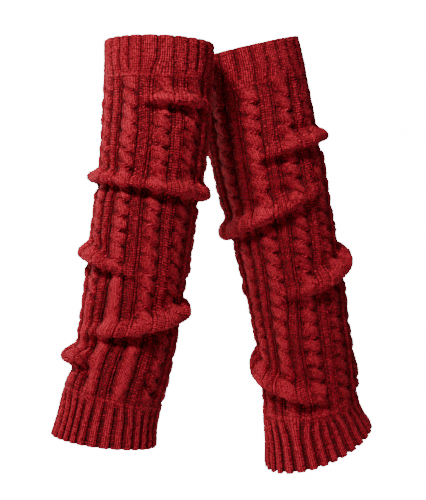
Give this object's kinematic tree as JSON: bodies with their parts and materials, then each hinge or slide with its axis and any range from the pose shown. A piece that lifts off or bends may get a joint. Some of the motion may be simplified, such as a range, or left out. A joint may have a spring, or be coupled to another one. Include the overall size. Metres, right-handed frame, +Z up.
{
  "type": "pair of leg warmers",
  "caption": "Pair of long cable-knit leg warmers, hollow and filled out as worn, pushed down into slouch folds, with a ribbed cuff at the top and the bottom of each.",
  "frame": {"origin": "midway between the middles of the two upper hems, where the wearer's legs hold the pair up", "axes": "+Z up along the wearer, -Y towards the front that the picture shows, +X to the viewer's right"},
  "size_m": [0.353, 0.2456, 0.4929],
  "materials": {
    "cable_knit": "matte heathered chunky knit yarn"
  },
  "bodies": {
    "root": {"left_upper_cuff": "cable_knit", "left_cable_leg": "cable_knit", "left_lower_cuff": "cable_knit", "right_upper_cuff": "cable_knit", "right_cable_leg": "cable_knit", "right_lower_cuff": "cable_knit"}
  },
  "joints": []
}
